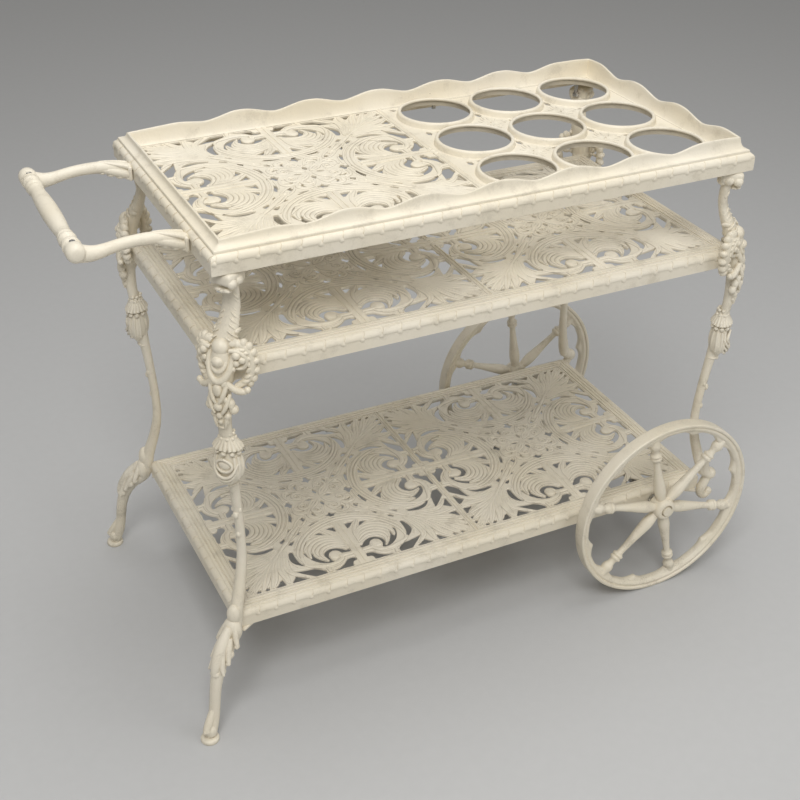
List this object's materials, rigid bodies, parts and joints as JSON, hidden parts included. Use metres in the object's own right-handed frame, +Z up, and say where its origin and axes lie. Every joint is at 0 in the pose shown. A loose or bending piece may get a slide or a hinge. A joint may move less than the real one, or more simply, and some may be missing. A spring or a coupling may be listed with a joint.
{
  "type": "bar cart",
  "caption": "Ornate cast bar cart: galleried tray with bottle openings, pierced scroll shelves, curved legs, push handle at one end and large spoked wheels at the other.",
  "frame": {"origin": "on the ground, midway along and across the cart", "axes": "+X from the handle end to the wheel end, +Y to the back, +Z up"},
  "size_m": [0.9864, 0.505, 0.73],
  "materials": {
    "cream_paint": "satin cream paint on castings, a little worn",
    "steel": "dull bare steel"
  },
  "bodies": {
    "cart": {"tray_frame": "cream_paint", "tray_scroll_panel": "cream_paint", "tray_bottle_panel": "cream_paint", "middle_frame": "cream_paint", "bottom_frame": "cream_paint", "middle_left_panel": "cream_paint", "middle_right_panel": "cream_paint", "bottom_left_panel": "cream_paint", "bottom_right_panel": "cream_paint", "front_handle_leg": "cream_paint", "back_handle_leg": "cream_paint", "front_wheel_leg": "cream_paint", "back_wheel_leg": "cream_paint", "front_handle_arm": "cream_paint", "back_handle_arm": "cream_paint", "handle_grip": "cream_paint", "front_axle_cap": "cream_paint", "back_axle_cap": "cream_paint", "front_axle_bracket": "cream_paint", "back_axle_bracket": "cream_paint", "tray_panel_screws": "steel", "middle_panel_screws": "steel", "bottom_panel_screws": "steel", "tray_leg_bolts": "steel", "middle_leg_bolts": "steel", "bottom_leg_bolts": "steel", "grip_screws": "steel", "handle_bolts": "steel", "axle": "steel", "bracket_bolts": "steel", "front_axle_spacer": "steel", "back_axle_spacer": "steel"},
    "front_wheel": {"front_wheel": "cream_paint"},
    "back_wheel": {"back_wheel": "cream_paint"}
  },
  "joints": [
    {"name": "front_wheel_spin", "type": "hinge", "parent": "cart", "child": "front_wheel", "pos_m": [0.34175, -0.2233, 0.1515], "axis": [0, 1, 0], "continuous": true},
    {"name": "back_wheel_spin", "type": "hinge", "parent": "cart", "child": "back_wheel", "pos_m": [0.34175, 0.2233, 0.1515], "axis": [0, 1, 0], "continuous": true}
  ]
}
